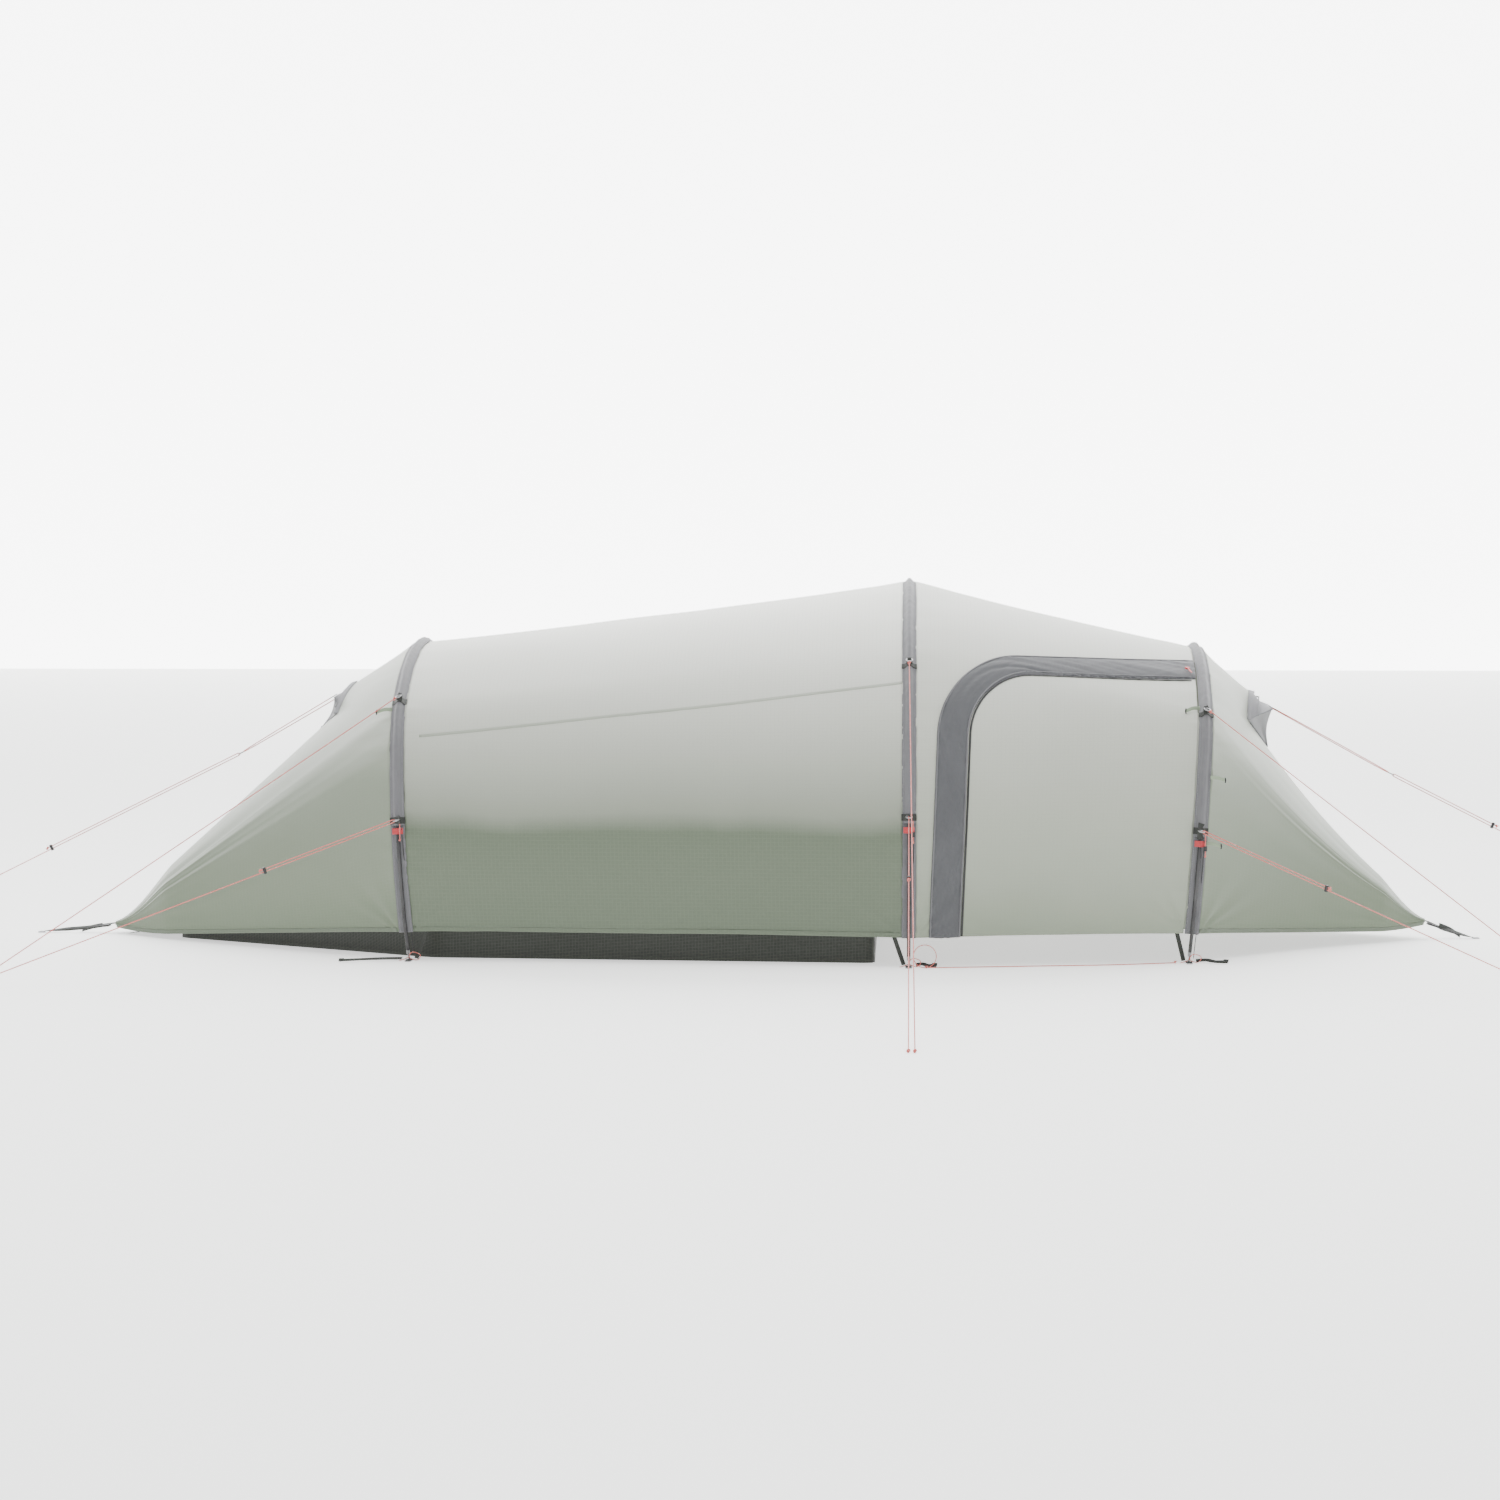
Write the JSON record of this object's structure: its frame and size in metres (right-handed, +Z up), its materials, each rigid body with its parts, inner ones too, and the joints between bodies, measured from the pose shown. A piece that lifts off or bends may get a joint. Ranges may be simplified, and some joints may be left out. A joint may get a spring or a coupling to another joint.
{
  "type": "tunnel tent",
  "caption": "Tunnel tent on arched poles: pale flysheet with pointed ends and hooded vents, side-door porch, inner tent on a tub groundsheet, webbing and guy lines.",
  "frame": {"origin": "on the ground, at the middle of the tent's length and width", "axes": "+X along the tent to its porch end, +Y to the far side, +Z up"},
  "size_m": [5.8698, 3.7686, 1.15],
  "materials": {
    "flysheet_fabric": "matt coated ripstop",
    "sleeve_fabric": "matt woven",
    "vent_mesh": "open mesh",
    "groundsheet_fabric": "coated woven",
    "inner_fabric": "breathable woven",
    "webbing": "flat woven webbing",
    "red_webbing": "flat woven webbing",
    "pole": "satin black",
    "ferrule": "satin",
    "shock_cord": "covered elastic",
    "black_plastic": "moulded",
    "ring_steel": "plated",
    "toggle_fabric": "folded tape",
    "zip_slider": "satin",
    "guy_cord": "braided"
  },
  "bodies": {
    "tent": {"cord_tails": "guy_cord", "door_peg_loops": "shock_cord", "foot_eyelets": "ferrule", "foot_straps": "webbing", "foot_tabs": "webbing", "front_nose": "flysheet_fabric", "front_pole": "pole", "front_sleeve": "sleeve_fabric", "front_vent_hood": "sleeve_fabric", "groundsheet": "groundsheet_fabric", "guy_front_lower": "guy_cord", "guy_front_upper": "guy_cord", "guy_middle_lower": "guy_cord", "guy_middle_upper": "guy_cord", "guy_rear_lower": "guy_cord", "guy_rear_upper": "guy_cord", "guy_rings": "ring_steel", "inner_tent": "inner_fabric", "inner_wall": "inner_fabric", "ladder_locks": "black_plastic", "lower_bands": "webbing", "middle_pole": "pole", "middle_sleeve": "sleeve_fabric", "peg_rings": "ring_steel", "pole_ferrules": "ferrule", "pole_shock_cords": "shock_cord", "pole_tips": "black_plastic", "porch_canopy": "flysheet_fabric", "rear_nose": "flysheet_fabric", "rear_pole": "pole", "rear_roof_panel": "flysheet_fabric", "rear_side_panels": "flysheet_fabric", "rear_sleeve": "sleeve_fabric", "rear_vent_hood": "sleeve_fabric", "sill_cord": "guy_cord", "sleeve_strips": "sleeve_fabric", "sleeve_tabs": "red_webbing", "tip_rings": "ring_steel", "tip_straps": "webbing", "toggles": "toggle_fabric", "upper_bands": "webbing", "vent_bridle_front": "guy_cord", "vent_bridle_rear": "guy_cord", "vent_guy_front": "guy_cord", "vent_guy_rear": "guy_cord", "vent_meshes": "vent_mesh"},
    "side_door_near": {"side_door_near": "flysheet_fabric", "zip_flap_near": "sleeve_fabric"},
    "side_door_far": {"side_door_far": "flysheet_fabric", "zip_flap_far": "sleeve_fabric"},
    "zip_slider_near": {"zip_slider_near": "zip_slider"},
    "zip_slider_far": {"zip_slider_far": "zip_slider"},
    "inner_door": {"inner_door": "inner_fabric"},
    "cord_lock_middle": {"cord_lock_middle": "black_plastic"},
    "cord_lock_front": {"cord_lock_front": "black_plastic"},
    "runner_rear": {"runner_rear": "black_plastic"},
    "runner_middle": {"runner_middle": "black_plastic"},
    "runner_front": {"runner_front": "black_plastic"},
    "runner_rear_vent": {"runner_rear_vent": "black_plastic"},
    "runner_front_vent": {"runner_front_vent": "black_plastic"}
  },
  "joints": [
    {"name": "side_door_near_hinge", "type": "hinge", "parent": "tent", "child": "side_door_near", "pos_m": [1.381, -0.812, 0.5], "axis": [0, 0, 1], "range_deg": [0, 95]},
    {"name": "side_door_far_hinge", "type": "hinge", "parent": "tent", "child": "side_door_far", "pos_m": [1.381, 0.812, 0.5], "axis": [0, 0, -1], "range_deg": [0, 95]},
    {"name": "zip_slide_near", "type": "slide", "parent": "side_door_near", "child": "zip_slider_near", "axis": [-0.9234, -0.3816, 0.0405], "range_m": [0, 0.4]},
    {"name": "zip_slide_far", "type": "slide", "parent": "side_door_far", "child": "zip_slider_far", "axis": [-0.9234, 0.3816, 0.0405], "range_m": [0, 0.4]},
    {"name": "inner_door_hinge", "type": "hinge", "parent": "tent", "child": "inner_door", "pos_m": [0.4045, 0.3985, 0.5], "axis": [0, 0, 1], "range_deg": [0, 80]},
    {"name": "cord_lock_slide_middle", "type": "slide", "parent": "tent", "child": "cord_lock_middle", "axis": [0, 0, 1], "range_m": [-0.008, 0.02]},
    {"name": "cord_lock_slide_front", "type": "slide", "parent": "tent", "child": "cord_lock_front", "axis": [0, 0, 1], "range_m": [-0.008, 0.02]},
    {"name": "runner_slide_rear", "type": "slide", "parent": "tent", "child": "runner_rear", "axis": [0.8168, 0.4909, 0.3032], "range_m": [0, 0.25]},
    {"name": "runner_slide_middle", "type": "slide", "parent": "tent", "child": "runner_middle", "axis": [0, 0.9705, 0.241], "range_m": [0, 0.25]},
    {"name": "runner_slide_front", "type": "slide", "parent": "tent", "child": "runner_front", "axis": [-0.6519, 0.7095, 0.2677], "range_m": [0, 0.25]},
    {"name": "runner_slide_rear_vent", "type": "slide", "parent": "tent", "child": "runner_rear_vent", "axis": [0.8954, 0, 0.4452], "range_m": [0, 0.25]},
    {"name": "runner_slide_front_vent", "type": "slide", "parent": "tent", "child": "runner_front_vent", "axis": [-0.8912, 0, 0.4536], "range_m": [0, 0.2]}
  ]
}
